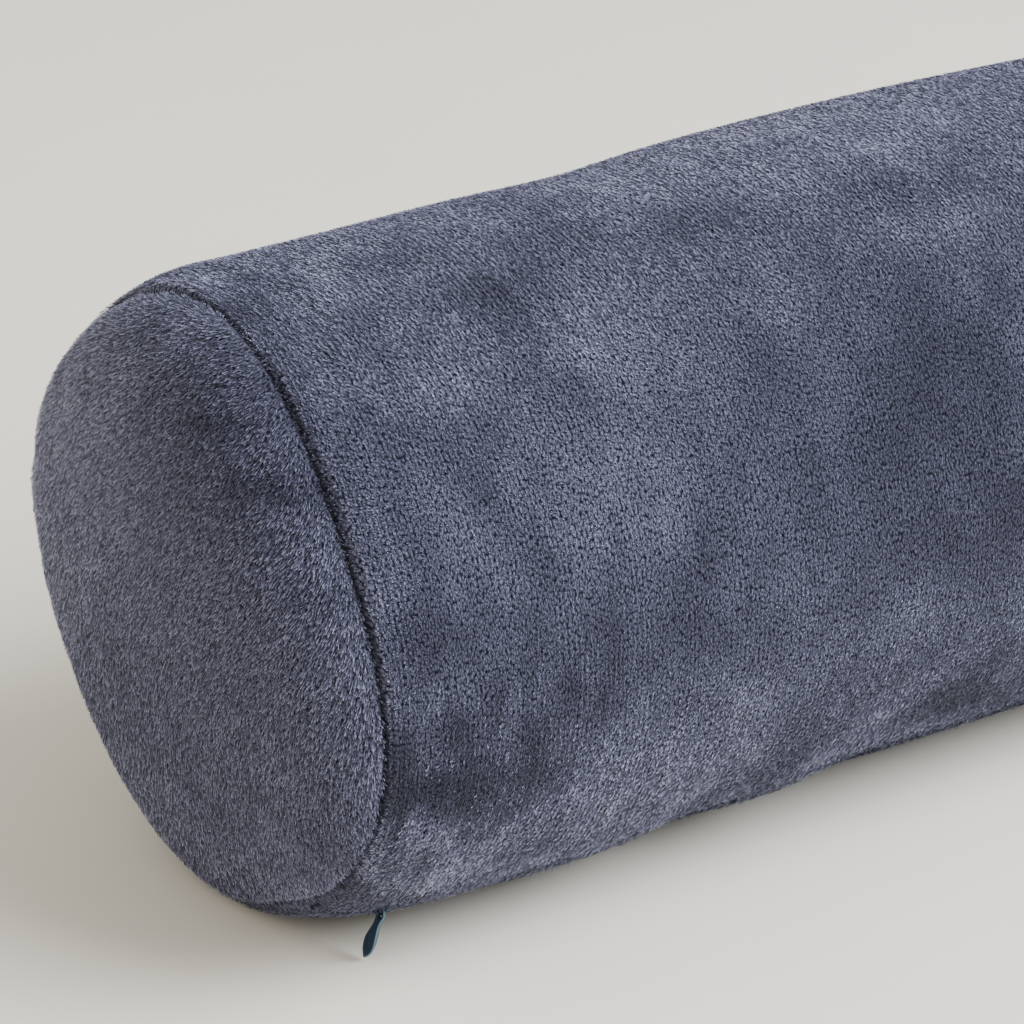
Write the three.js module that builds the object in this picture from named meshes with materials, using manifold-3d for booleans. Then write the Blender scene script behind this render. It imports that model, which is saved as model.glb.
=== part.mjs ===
// Neck roll pillow: a filled plush roll with a round panel sewn into each end, lying on its side.
// Millimetres, +Z up. The roll lies along X with its near end at -X, and rests on Z = 0.
// An angle around the roll is in degrees: 0 at the back (+Y), 90 on top, 180 at the front (-Y), 270 below.
import * as THREE from "three";
import { mergeVertices } from "three/addons/utils/BufferGeometryUtils.js";
import Module from "manifold-3d";

// The roll
const ROLL_LENGTH = 400; // from seam to seam
const ROLL_RADIUS_MIDDLE = 76; // the roll is a little fuller in the middle
const ROLL_RADIUS_ENDS = 73.5;
const REST_SINK = 1.9; // how far its own weight flattens the underside
const SHOULDER = 18; // length over which the tube draws in to a seam

// The seams between the tube and its end panels, slightly cornered by the sewing
const SEAM_RADIUS = 69;
const SEAM_HEIGHT = 73.1; // of the seam's centre above the rest
const SEAM_CORNERS = 4;
const NEAR_SEAM = { cornerAngle: 99.5, wave: 2.3 };
const FAR_SEAM = { cornerAngle: 62, wave: 1.2 };

// The end panels, crowned by the filling
const PANEL_CROWN = 20;
const PANEL_ROUNDNESS = 2.6; // above 2 the crown is flatter in the middle and rounder at its edge
const PANEL_LEAN = 0.25; // the filling pushes the upper half further out

// Clearance between neighbouring pieces
const PIECE_GAP = 0.3;

// Soft swells and hollows of the tube: distance from the near seam, angle, reach along, reach around, rise
const FOLDS = [
  { along: 66, angle: 232, length: 26, spread: 16, rise: 2.0 },
  { along: 116, angle: 231, length: 13, spread: 14, rise: 1.3 },
  { along: 92, angle: 222, length: 9, spread: 12, rise: -1.2 },
  { along: 142, angle: 228, length: 14, spread: 16, rise: -1.0 },
  { along: 10, angle: 242, length: 13, spread: 20, rise: -2.6 },
  { along: 9, angle: 217, length: 6, spread: 6, rise: -1.8 },
  { along: 108, angle: 62, length: 22, spread: 25, rise: -1.3 },
  { along: 168, angle: 222, length: 9, spread: 12, rise: -0.8 },
  { along: 250, angle: 212, length: 30, spread: 22, rise: 1.0 },
  { along: 318, angle: 226, length: 22, spread: 16, rise: -1.3 },
  { along: 362, angle: 40, length: 24, spread: 24, rise: -1.2 },
  { along: 120, angle: 20, length: 40, spread: 26, rise: -1.0 },
];

// The closing seam that runs along the tube, low on the front, and the zip slider at its near end
const CLOSING_ANGLE = 234;
const CLOSING_GROOVE_RADIUS = 1.5;
const SLIT_SLACK = 0.6; // room around the slider in its slit, for the pull's eye too
const SLIDER_ALONG = 15; // from the near seam
const SLIDER_LENGTH = 4.6;
const SLIDER_WIDTH = 2.4;
const SLIDER_DEPTH = 3.2;
const SLIDER_SUNK = 2; // its top lies this far below the plush
const BAIL_INNER_RADIUS = 1.4;
const BAIL_BAND = 0.5;
const BAIL_SPRING = -0.45; // level at which the bail's arch springs from its legs, from the plush

// The drop-shaped pull: half widths at shares of its length from the eye to the tip
const PULL_LENGTH = 14.2;
const PULL_EYE_RADIUS = 0.85;
const PULL_EYE_FROM_END = 1.35;
const PULL_TIP_HEIGHT = 0.7; // its tip hangs just clear of the rest
const PULL_HEADING = 113; // way it leans, in degrees from +X towards +Y
const PULL_FLATNESS = 0.5; // thickness over width
const PULL_OUTLINE = [
  { share: 0, half: 0 },
  { share: 0.02, half: 0.8 },
  { share: 0.095, half: 1.3 },
  { share: 0.2, half: 0.95 },
  { share: 0.32, half: 0.85 },
  { share: 0.5, half: 1.2 },
  { share: 0.7, half: 1.45 },
  { share: 0.87, half: 1.2 },
  { share: 0.97, half: 0.6 },
  { share: 1, half: 0 },
];

// Mesh fineness
const ROLL_SIDES = 64;
const SHOULDER_STEPS = 5;
const MIDDLE_STEPS = 24;
const PANEL_RINGS = 9;
const GROOVE_STEPS = 60;
const CORNER_STEPS = 4;
const BAIL_STEPS = 8;
const PULL_SIDES = 14;
const PULL_RINGS = 18;
const EYE_SIDES = 16;
const MERGE_DISTANCE = 1e-3;

// Finishes
const TUBE_PLUSH = { color: 0x5f6475, roughness: 0.95, metalness: 0 };
const PANEL_PLUSH = { color: 0x50525f, roughness: 0.95, metalness: 0 };
const ENAMEL = { color: 0x16303f, roughness: 0.22, metalness: 0.3 };

const wasm = await Module();
wasm.setup();

const { lerp, degToRad, radToDeg } = THREE.MathUtils;

/** A closed manifold solid of a geometry, from its positions alone. */
function solidOf(geometry) {
  const bare = geometry.clone();
  bare.deleteAttribute("normal");
  bare.deleteAttribute("uv");
  const merged = mergeVertices(bare, MERGE_DISTANCE);
  const vertProperties = new Float32Array(merged.attributes.position.array);
  const triVerts = new Uint32Array(merged.index.array);
  return new wasm.Manifold(new wasm.Mesh({ numProp: 3, vertProperties, triVerts }));
}

/** A geometry of a manifold solid. */
function geometryOf(solid) {
  const mesh = solid.getMesh();
  const geometry = new THREE.BufferGeometry();
  geometry.setAttribute("position", new THREE.BufferAttribute(new Float32Array(mesh.vertProperties), 3));
  geometry.setIndex(new THREE.BufferAttribute(new Uint32Array(mesh.triVerts), 1));
  geometry.computeVertexNormals();
  return geometry;
}

/** Seam radius at an angle: a circle with soft corners. */
function seamRadius(angle, seam) {
  return SEAM_RADIUS + seam.wave * Math.cos(SEAM_CORNERS * degToRad(angle - seam.cornerAngle));
}

/** Rise of all the soft folds at a place on the tube: a rounded hump or hollow for each row. */
function foldRise(along, angle) {
  let rise = 0;
  for (const fold of FOLDS) {
    const turn = THREE.MathUtils.euclideanModulo(angle - fold.angle + 180, 360) - 180;
    rise += fold.rise * Math.exp(-(((along - fold.along) / fold.length) ** 2) - (turn / fold.spread) ** 2);
  }
  return rise;
}

/** Point of the tube's skin, or inside it for a share below 1 of the way out from the section's centre. */
function rollPoint(along, angle, share = 1) {
  const near = along < ROLL_LENGTH / 2;
  const fromSeam = near ? along : ROLL_LENGTH - along;
  const full = Math.sqrt(1 - (1 - Math.min(fromSeam / SHOULDER, 1)) ** 2);
  const middle = Math.sin((Math.PI * along) / ROLL_LENGTH) ** 2;
  const plain = lerp(ROLL_RADIUS_ENDS, ROLL_RADIUS_MIDDLE, middle);
  const drawnIn = seamRadius(angle, near ? NEAR_SEAM : FAR_SEAM);
  const radius = share * (lerp(drawnIn, plain, full) + foldRise(along, angle) * full);
  const height = lerp(SEAM_HEIGHT, plain - REST_SINK, full);
  const turn = degToRad(angle);
  const inset = PIECE_GAP / 2;
  const x = THREE.MathUtils.clamp(along, inset, ROLL_LENGTH - inset) - ROLL_LENGTH / 2;
  return new THREE.Vector3(x, radius * Math.cos(turn), Math.max(0, height + radius * Math.sin(turn)));
}

/** A lathe of (share, along) pairs about X, with each of its points moved to place(share, along, angle). */
function shapedLathe(profile, sides, place) {
  const points = profile.map(([share, along]) => new THREE.Vector2(share, along));
  const geometry = new THREE.LatheGeometry(points, sides);
  const position = geometry.attributes.position;
  for (let i = 0; i < position.count; i += 1) {
    const share = Math.hypot(position.getX(i), position.getZ(i));
    const angle = share > 0 ? radToDeg(Math.atan2(position.getX(i), position.getZ(i))) : 0;
    const point = place(share, position.getY(i), angle);
    position.setXYZ(i, point.x, point.y, point.z);
  }
  return geometry;
}

/** Distances from the near seam of the tube's rings, closest where its shoulders turn in. */
function rollStations() {
  const shoulder = [];
  for (let i = 0; i < SHOULDER_STEPS; i += 1) {
    shoulder.push(SHOULDER * (1 - Math.cos((i * Math.PI) / 2 / SHOULDER_STEPS)));
  }
  const middle = [];
  for (let i = 0; i <= MIDDLE_STEPS; i += 1) {
    middle.push(lerp(SHOULDER, ROLL_LENGTH - SHOULDER, i / MIDDLE_STEPS));
  }
  const farShoulder = shoulder.map((along) => ROLL_LENGTH - along).reverse();
  return [...shoulder, ...middle, ...farShoulder];
}

/** A round cord along the closing seam, past both ends of the tube. */
function closingCord() {
  const route = rollStations().map((along) => rollPoint(along, CLOSING_ANGLE));
  const overrun = new THREE.Vector3(CLOSING_GROOVE_RADIUS * 2, 0, 0);
  route.unshift(route[0].clone().sub(overrun));
  route.push(route[route.length - 1].clone().add(overrun));
  const section = new THREE.Shape();
  section.absarc(0, 0, CLOSING_GROOVE_RADIUS, 0, 2 * Math.PI);
  const extrudePath = new THREE.CatmullRomCurve3(route);
  const settings = { steps: GROOVE_STEPS, curveSegments: CORNER_STEPS, extrudePath };
  return new THREE.ExtrudeGeometry(section, settings);
}

/** A box with rounded upright edges, its top at a level and its length along X. */
function roundedBlock(length, width, depth, top, round) {
  const x = length / 2 - round;
  const y = width / 2 - round;
  const outline = new THREE.Shape();
  outline.absarc(x, y, round, 0, Math.PI / 2);
  outline.absarc(-x, y, round, Math.PI / 2, Math.PI);
  outline.absarc(-x, -y, round, Math.PI, 1.5 * Math.PI);
  outline.absarc(x, -y, round, 1.5 * Math.PI, 2 * Math.PI);
  const settings = { depth, curveSegments: CORNER_STEPS, bevelEnabled: false };
  const geometry = new THREE.ExtrudeGeometry(outline, settings);
  return geometry.translate(0, 0, top - depth);
}

/** The slider's bail: an upright arch along X whose legs stand in the slider. */
function bail() {
  const outer = BAIL_INNER_RADIUS + BAIL_BAND;
  const foot = -SLIDER_SUNK - SLIDER_DEPTH / 2;
  const outline = new THREE.Shape();
  outline.moveTo(outer, foot);
  outline.lineTo(outer, BAIL_SPRING);
  outline.absarc(0, BAIL_SPRING, outer, 0, Math.PI);
  outline.lineTo(-outer, foot);
  outline.lineTo(-BAIL_INNER_RADIUS, foot);
  outline.lineTo(-BAIL_INNER_RADIUS, BAIL_SPRING);
  outline.absarc(0, BAIL_SPRING, BAIL_INNER_RADIUS, Math.PI, 0, true);
  outline.lineTo(BAIL_INNER_RADIUS, foot);
  outline.closePath();
  const settings = { depth: BAIL_BAND, curveSegments: BAIL_STEPS, bevelEnabled: false };
  const geometry = new THREE.ExtrudeGeometry(outline, settings);
  return geometry.translate(0, 0, -BAIL_BAND / 2).rotateX(Math.PI / 2);
}

/** The slider stands upright on the tube's skin where the closing seam ends. */
const sliderPlace = new THREE.Group();
sliderPlace.position.copy(rollPoint(SLIDER_ALONG, CLOSING_ANGLE));
sliderPlace.rotation.x = degToRad(CLOSING_ANGLE - 90);
sliderPlace.updateMatrix();

/** The filled tube with its closing seam pressed in and the slit that takes the slider. */
function tubePanel() {
  const stations = rollStations();
  const profile = [[0, 0], ...stations.map((along) => [1, along]), [0, ROLL_LENGTH]];
  const place = (share, along, angle) => rollPoint(along, angle, share);
  const tube = solidOf(shapedLathe(profile, ROLL_SIDES, place));
  const slitLength = SLIDER_LENGTH + 2 * PIECE_GAP;
  const slitWidth = SLIDER_WIDTH + 2 * SLIT_SLACK;
  const slitDepth = SLIDER_DEPTH + SLIDER_SUNK + PIECE_GAP + CLOSING_GROOVE_RADIUS;
  const slit = roundedBlock(slitLength, slitWidth, slitDepth, CLOSING_GROOVE_RADIUS, SLIDER_WIDTH / 3);
  slit.applyMatrix4(sliderPlace.matrix);
  return geometryOf(tube.subtract(solidOf(closingCord())).subtract(solidOf(slit)));
}

/** A crowned end panel, closed by a flat back; side is -1 at the near end and 1 at the far end. */
function endPanel(side, seam) {
  const crown = [];
  for (let i = 0; i <= PANEL_RINGS; i += 1) {
    crown.push([1 - (1 - i / PANEL_RINGS) ** 2, 1]);
  }
  const profile = [...crown, [0, 0]];
  const place = (share, crowned, angle) => {
    const turn = degToRad(angle);
    const swell = Math.sqrt(Math.max(0, 1 - share ** PANEL_ROUNDNESS));
    const depth = crowned * PANEL_CROWN * swell * (1 + PANEL_LEAN * share * Math.sin(turn));
    const radius = share * seamRadius(angle, seam);
    return new THREE.Vector3(
      side * (ROLL_LENGTH / 2 + PIECE_GAP / 2 + depth),
      radius * Math.cos(turn),
      SEAM_HEIGHT + radius * Math.sin(turn),
    );
  };
  return shapedLathe(side < 0 ? profile : profile.reverse(), ROLL_SIDES, place);
}

/** The slider's body with its bail. */
function zipSlider() {
  const body = roundedBlock(SLIDER_LENGTH, SLIDER_WIDTH, SLIDER_DEPTH, -SLIDER_SUNK, SLIDER_WIDTH / 3);
  return geometryOf(solidOf(body).add(solidOf(bail())));
}

/** The drop-shaped pull along -Z from the middle of its eye, whose hole runs along X. */
function zipPull() {
  const spine = PULL_OUTLINE.map(({ share, half }) => new THREE.Vector2(half, -share * PULL_LENGTH));
  const profile = new THREE.SplineCurve(spine.reverse()).getPoints(PULL_RINGS);
  profile[0].x = 0;
  profile[profile.length - 1].x = 0;
  const drop = new THREE.LatheGeometry(profile, PULL_SIDES).rotateX(Math.PI / 2);
  drop.scale(PULL_FLATNESS, 1, 1).translate(0, 0, PULL_EYE_FROM_END);
  const bore = new THREE.CylinderGeometry(PULL_EYE_RADIUS, PULL_EYE_RADIUS, PULL_LENGTH, EYE_SIDES);
  return geometryOf(solidOf(drop).subtract(solidOf(bore.rotateZ(Math.PI / 2))));
}

/** A named mesh with a material of its own. */
function piece(name, geometry, finish) {
  const mesh = new THREE.Mesh(geometry, new THREE.MeshStandardMaterial(finish));
  mesh.name = name;
  return mesh;
}

const pillow = new THREE.Group();
pillow.add(piece("tube_panel", tubePanel(), TUBE_PLUSH));
pillow.add(piece("end_panel_near", endPanel(-1, NEAR_SEAM), PANEL_PLUSH));
pillow.add(piece("end_panel_far", endPanel(1, FAR_SEAM), PANEL_PLUSH));

sliderPlace.add(piece("zip_slider", zipSlider(), ENAMEL));
pillow.add(sliderPlace);

// The pull hangs from the bail's arch and, being longer than the room below it, leans to one side
const bailBand = new THREE.Vector3(0, 0, BAIL_SPRING + BAIL_INNER_RADIUS + BAIL_BAND / 2);
const pull = piece("zip_pull", zipPull(), ENAMEL);
pull.position.copy(bailBand.applyMatrix4(sliderPlace.matrix));
const reach = PULL_LENGTH - PULL_EYE_FROM_END;
const drop = pull.position.z - PULL_TIP_HEIGHT;
const aside = Math.sqrt(reach ** 2 - drop ** 2);
const heading = degToRad(PULL_HEADING);
const hang = new THREE.Vector3(aside * Math.cos(heading), aside * Math.sin(heading), -drop).normalize();
pull.quaternion.setFromUnitVectors(new THREE.Vector3(0, 0, -1), hang);
pillow.add(pull);

export default pillow;
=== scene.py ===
"""Neck roll pillow in short-pile plush: covers, pile, zip pull and stage, laid out as a Blender add-on."""

from collections import namedtuple

import bpy
import numpy as np
from bpy.props import FloatProperty, FloatVectorProperty, IntProperty, PointerProperty
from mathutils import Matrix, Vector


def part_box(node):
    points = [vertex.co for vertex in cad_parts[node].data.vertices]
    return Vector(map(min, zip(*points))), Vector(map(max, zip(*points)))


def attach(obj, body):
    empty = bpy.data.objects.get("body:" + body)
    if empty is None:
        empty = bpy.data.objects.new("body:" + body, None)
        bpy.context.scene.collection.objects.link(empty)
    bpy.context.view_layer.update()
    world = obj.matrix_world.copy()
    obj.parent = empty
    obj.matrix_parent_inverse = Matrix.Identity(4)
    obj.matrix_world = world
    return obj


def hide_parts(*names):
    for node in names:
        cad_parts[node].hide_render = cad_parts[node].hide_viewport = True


bl_info = {
    "name": "Neck Roll Pillow",
    "version": (1, 0, 0),
    "blender": (4, 5, 0),
    "location": "View3D > Sidebar > Pillow",
    "description": "Plush covers, pile, zip pull and stage for a neck roll pillow",
    "category": "Object",
}

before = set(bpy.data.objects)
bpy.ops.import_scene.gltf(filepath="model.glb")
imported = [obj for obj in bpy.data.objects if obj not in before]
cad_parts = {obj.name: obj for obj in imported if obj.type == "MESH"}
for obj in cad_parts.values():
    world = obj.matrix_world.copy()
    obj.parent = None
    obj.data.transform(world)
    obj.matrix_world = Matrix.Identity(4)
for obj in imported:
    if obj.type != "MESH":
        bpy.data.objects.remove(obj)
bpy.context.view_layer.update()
TUBE_LOW, TUBE_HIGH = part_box("tube_panel")

MM = 0.001
PIECE_GAP = 0.3
SEED = 41

# The roll as sewn and filled, in millimetres and degrees. Angles run from the back over the top to the front.
ROLL_LENGTH = (TUBE_HIGH.x - TUBE_LOW.x) / MM + PIECE_GAP
RADIUS_MIDDLE = 76.0
RADIUS_ENDS = 73.5
REST_SINK = 1.9
FLAT_DEPTH = 0.5
SHOULDER = 18.0
SEAM_RADIUS = 69.0
SEAM_HEIGHT = 73.1
SEAM_CORNERS = 4
BACK_FULLNESS = 1.5
CROWN_STEEPNESS = 0.5
CROWN_ROUNDNESS = 2.6
CROWN_LEAN = 0.25

# Where the covers hang slack low down at the front, and how that flattens the crowns and lifts the seams
SLACK_ANGLE = 248.0
SLACK_SPREAD = 28.0
SLACK_TRAILS = 1.3
SLACK_FLATTENS = 0.4
SLACK_LIFTS = 1.3
SLACK_LIFT_SPREAD = SLACK_SPREAD / 2
SLACK_SEAM_SPREAD = 1.4 * SLACK_SPREAD

Seam = namedtuple("Seam", "side corner_angle wave")
NEAR_SEAM = Seam(side=-1, corner_angle=99.5, wave=2.3)
FAR_SEAM = Seam(side=1, corner_angle=62.0, wave=1.2)
ENDS = {"near": NEAR_SEAM, "far": FAR_SEAM}

# Smooth random fields: their cells down and across, and the seed of their heights
Noise = namedtuple("Noise", "down across seed")
WALE_WANDER = Noise(40, 24, SEED + 1)
TUBE_DRIFT = Noise(12, 14, SEED + 2)
TUBE_FINE = Noise(40, 48, SEED + 3)
END_DRIFT = Noise(7, 7, SEED + 4)
END_FINE = Noise(30, 30, SEED + 5)
TUBE_STREAK = Noise(110, 60, SEED + 6)
VALLEY_UNEVEN = Noise(1, 26, SEED + 7)
LIP_UNEVEN = Noise(1, 30, SEED + 8)

# Soft rises and hollows of the tube: where they lie, how far they reach and how high they stand
Fold = namedtuple("Fold", "along angle reach spread rise")
FOLDS = (
    Fold(66, 232, 26, 16, 2.0),
    Fold(116, 231, 13, 14, 1.3),
    Fold(92, 222, 9, 12, -1.2),
    Fold(142, 228, 14, 16, -1.0),
    Fold(10, 242, 13, 20, -2.6),
    Fold(3, 280, 9, 16, 2.4),
    Fold(9, 217, 6, 6, -1.8),
    Fold(108, 62, 22, 25, -1.3),
    Fold(168, 222, 9, 12, -0.8),
    Fold(250, 212, 30, 22, 1.0),
    Fold(318, 226, 22, 16, -1.3),
    Fold(362, 40, 24, 24, -1.2),
    Fold(120, 20, 40, 26, -1.0),
)

# Patches of the tube's nap, lighter where the pile lies down and darker where it stands up, and patches of
# painted light and shade: sheen along the top, shade low along the bottom, and long bands along the roll
Patch = namedtuple("Patch", "along angle reach spread tone")
NAP_AND_LIGHT_PATCHES = (
    # Painted sheen along the top of the roll
    Patch(150, 88, 70, 11, 0.13),
    Patch(185, 97, 10, 9, 0.2),
    Patch(160, 90, 9, 6, 0.10),
    Patch(93, 94, 7, 6, 0.15),
    Patch(68, 88, 9, 8, 0.10),
    Patch(110, 85, 9, 7, 0.08),
    Patch(72, 204, 14, 14, 0.30),
    Patch(88, 209, 9, 7, 0.20),
    Patch(135, 206, 9, 6, 0.12),
    Patch(48, 214, 10, 8, 0.15),
    Patch(24, 214, 9, 7, 0.30),
    Patch(66, 228, 10, 10, 0.22),
    Patch(62, 150, 18, 9, 0.24),
    Patch(72, 120, 12, 10, 0.16),
    Patch(36, 124, 9, 9, 0.14),
    Patch(25, 95, 8, 8, 0.12),
    Patch(172, 122, 10, 6, 0.14),
    Patch(125, 222, 8, 12, 0.20),
    Patch(133, 184, 10, 7, 0.16),
    Patch(101, 192, 12, 8, 0.16),
    Patch(150, 224, 14, 6, 0.34),
    Patch(8, 207, 8, 7, 0.42),
    Patch(6, 188, 10, 8, -0.48),
    Patch(27, 197, 11, 6, -0.45),
    Patch(42, 184, 7, 8, -0.30),
    Patch(12, 165, 9, 9, -0.20),
    Patch(52, 174, 12, 8, -0.20),
    Patch(75, 170, 7, 6, -0.24),
    Patch(4, 97, 7, 7, -0.48),
    Patch(2, 120, 6, 8, -0.20),
    Patch(40, 95, 6, 5, -0.22),
    Patch(28, 116, 7, 6, -0.22),
    Patch(53, 112, 8, 6, -0.32),
    Patch(70, 104, 6, 5, -0.20),
    Patch(59, 128, 5, 6, -0.20),
    Patch(82, 92, 7, 9, -0.14),
    Patch(106, 106, 8, 6, -0.28),
    Patch(123, 110, 7, 6, -0.22),
    Patch(165, 113, 18, 6, -0.2),
    Patch(105, 137, 9, 10, -0.12),
    Patch(111, 151, 6, 5, -0.15),
    Patch(150, 147, 16, 12, -0.26),
    Patch(132, 155, 12, 16, -0.12),
    Patch(165, 141, 8, 6, -0.22),
    Patch(160, 172, 14, 14, -0.30),
    Patch(143, 173, 5, 5, -0.20),
    Patch(128, 195, 5, 4, -0.16),
    Patch(110, 215, 8, 9, -0.16),
    Patch(158, 214, 11, 6, -0.42),
    Patch(158, 236, 14, 7, -0.06),
    Patch(18, 230, 12, 7, -0.22),
    # Painted shade low along the bottom of the roll
    Patch(200, 242, 300, 20, -0.28),
    # Long bands along the roll: painted light and shade by angle round it
    Patch(110, 112, 200, 14, -0.025),
    Patch(110, 163, 200, 16, -0.025),
    Patch(58, 169, 22, 6, -0.06),
    Patch(110, 182, 200, 26, 0.06),
    Patch(110, 140, 200, 28, -0.035),
    Patch(152, 165, 25, 25, -0.06),
    Patch(26, 187, 24, 15, -0.1),
    Patch(38, 199, 6, 5, -0.22),
    Patch(25, 170, 12, 8, -0.1),
    Patch(142, 214, 8, 5, -0.12),
    Patch(165, 206, 8, 5, -0.12),
    Patch(88, 97, 4, 5, -0.12),
    Patch(9, 84, 6, 5, 0.1),
    Patch(12, 97, 5, 4, -0.1),
    Patch(14, 133, 5, 4, -0.1),
    Patch(8, 112, 8, 6, -0.1),
    Patch(36, 212, 9, 6, 0.1),
    Patch(48, 222, 10, 9, 0.08),
    Patch(97, 208, 14, 9, 0.09),
    Patch(120, 211, 8, 7, 0.09),
    Patch(142, 202, 9, 7, 0.1),
    Patch(56, 105, 5, 5, 0.1),
    Patch(117, 98, 8, 6, 0.14),
    Patch(121, 103, 6, 4, 0.08),
    Patch(151, 105, 9, 6, 0.16),
    Patch(178, 105, 9, 7, 0.1),
    Patch(53, 182, 5, 5, 0.12),
    Patch(14, 201, 8, 4, -0.1),
    Patch(148, 160, 6, 7, 0.1),
    # Painted sheen along the top
    Patch(150, 79, 70, 8, 0.05),
    Patch(100, 229, 12, 9, 0.28),
    Patch(32, 188, 6, 5, -0.15),
    Patch(3, 216, 4, 7, -0.4),
    Patch(35, 172, 8, 5, -0.12),
)

# How the tube's pile lies at angles round it: its turn from straight round the roll, and its lean from
# upright. It is brushed towards the near end, back over the top and down below.
Nap = namedtuple("Nap", "angle turn lean")
TUBE_NAP = (
    Nap(0, -90, 45),
    Nap(40, -120, 60),
    Nap(75, -139, 67),
    Nap(102, -142, 64),
    Nap(118, -136, 61),
    Nap(134, -120, 48),
    Nap(150, -100, 40),
    Nap(166, -90, 39),
    Nap(182, -84, 48),
    Nap(198, -72, 58),
    Nap(214, -62, 67),
    Nap(235, -50, 70),
    Nap(300, -70, 50),
    Nap(360, -90, 45),
)
TUBE_LEAN_LIMITS = (10, 74)
TUBE_TURN_DRIFT = 10.0
TUBE_TURN_FINE = 12.0

# Wales of the tube: columns of tufts, gathered closest in one patch, and a creased patch at the near front,
# with painted light and shade on its ribs and painted shade among its ruffled tufts
WALE_PITCH = 1.2
WALE_GATHER = 0.3
WALE_PATCH = Patch(20, 168, 110, 50, 0.55)
WALE_JITTER = 0.1
WANDER_REACH = 0.8
TUFT_JITTER = 0.22
CREASE_PATCH = Patch(14, 192, 30, 22, 0.3)
CREASE_LEAST = 0.08
CREASE_RIB_LIGHT_AND_SHADE = 0.25
CREASE_RUFFLE = 0.5
RUFFLE_PAINTED_SHADE = -0.5
TUFT_RUFFLE = 0.06

# How the mood of the nap shows in tone and lean, and the drifts that are mixed into it and warp its patches
NAP_CONTRAST = 2.0
NAP_LEANS = 18.0
# Painted shade over the whole ground cloth under the pile
GROUND_PAINTED_SHADE = 0.34
TUBE_DRIFT_TONE = 0.1
TUBE_FINE_TONE = 0.1
END_DRIFT_TONE = 0.05
END_FINE_TONE = 0.03
DRIFT_WARP = 2.0
FINE_WARP = 3.0
STREAK_WARP = 2.0
END_WARP_UP = 1.5

# Patches of an end panel, from its middle towards the back and up: brushed patches of its nap, painted light
# broad towards its back edge, and painted shade in short creases
EndPatch = namedtuple("EndPatch", "across up wide high tone")
END_NAP_AND_LIGHT_PATCHES = (
    # Painted light, broad towards the back edge
    EndPatch(55, 15, 42, 42, 0.22),
    EndPatch(40, 32, 12, 12, 0.13),
    EndPatch(14, 50, 12, 12, 0.1),
    EndPatch(-4, -56, 14, 14, 0.08),
    EndPatch(20, -50, 11, 11, 0.1),
    EndPatch(6, -35, 12, 12, 0.06),
    EndPatch(-48, -6, 10, 10, 0.08),
    EndPatch(33, 46, 8, 8, 0.1),
    EndPatch(-20, -53, 16, 8, 0.1),
    EndPatch(-24, 54, 13, 13, -0.14),
    # Painted shade in short creases: the narrow rows from here on
    EndPatch(-28, 54, 8, 2.2, -0.24),
    EndPatch(-25, 60, 7, 1.4, -0.14),
    EndPatch(-26, 48, 7, 1.4, -0.12),
    EndPatch(-43, 44, 9, 2.2, -0.36),
    EndPatch(-40, 40, 9, 9, -0.08),
    EndPatch(-57, 28, 5, 1.8, -0.24),
    EndPatch(-48, -12, 30, 30, -0.12),
    EndPatch(-56, -34, 10, 10, -0.16),
    EndPatch(-15, -14, 6, 6, -0.08),
)
END_NAP_ANGLE = 278.0
END_NAP_SWAY = 23.0
END_NAP_REACH = 26.0
END_NAP_LEAN = 66.0
END_LEAN_LIMITS = (15, 74)
END_TURN_DRIFT = 9.0
END_TURN_FINE = 8.0
END_ROWS_TURN = 270.0
END_JITTER = 0.2
END_SEED = SEED + 10
END_TONE = 1.01
END_STRETCH = 1.2
END_MAP_WIDTH = 3 * SEAM_RADIUS

# A sewn end seam: its valley, the tube's lip beside it, and the painted shadow, bare strip, trimmed pile and
# rims of tone along it, pale on the lip and painted shade in the valley. Most of them grow where the covers
# hang slack, and the pile closes over part of the seam.
VALLEY_DEPTH = 0.6
VALLEY_WIDTH = 0.4
VALLEY_MEAN = 0.85
VALLEY_VARIES = 0.5
VALLEY_SLACK_DEPTH = 3.0
VALLEY_SLACK_WIDTH = 0.8
TUBE_LIP = 0.6
LIP_VARIES = 0.6
LIP_PLACE = 3.5 * VALLEY_WIDTH
LIP_WIDTH = 3.0 * VALLEY_WIDTH
SEAM_SHADE = 0.7
SEAM_SHADE_WIDTH = 1.3 * VALLEY_WIDTH
SEAM_BARE = 0.05
SEAM_SLACK_BARE = 12.0
SEAM_TRIM = 1.9
TRIM_LEAST = 0.7
TRIM_SLACK_LESS = 0.15
TRIM_SLACK_WIDER = 1.4
RIM_PALE = 0.12
RIM_PALE_PLACE = 2.5
RIM_PALE_WIDTH = 1.5
# Painted shade on the tube's pile in the open valley
RIM_PAINTED_SHADE = 0.4
RIM_PAINTED_SHADE_WIDTH = 0.5
SEAM_CLOSED_ANGLE = 70.0
SEAM_CLOSED_SPREAD = 26.0
SEAM_CLOSED_SHARE = 0.8

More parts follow.
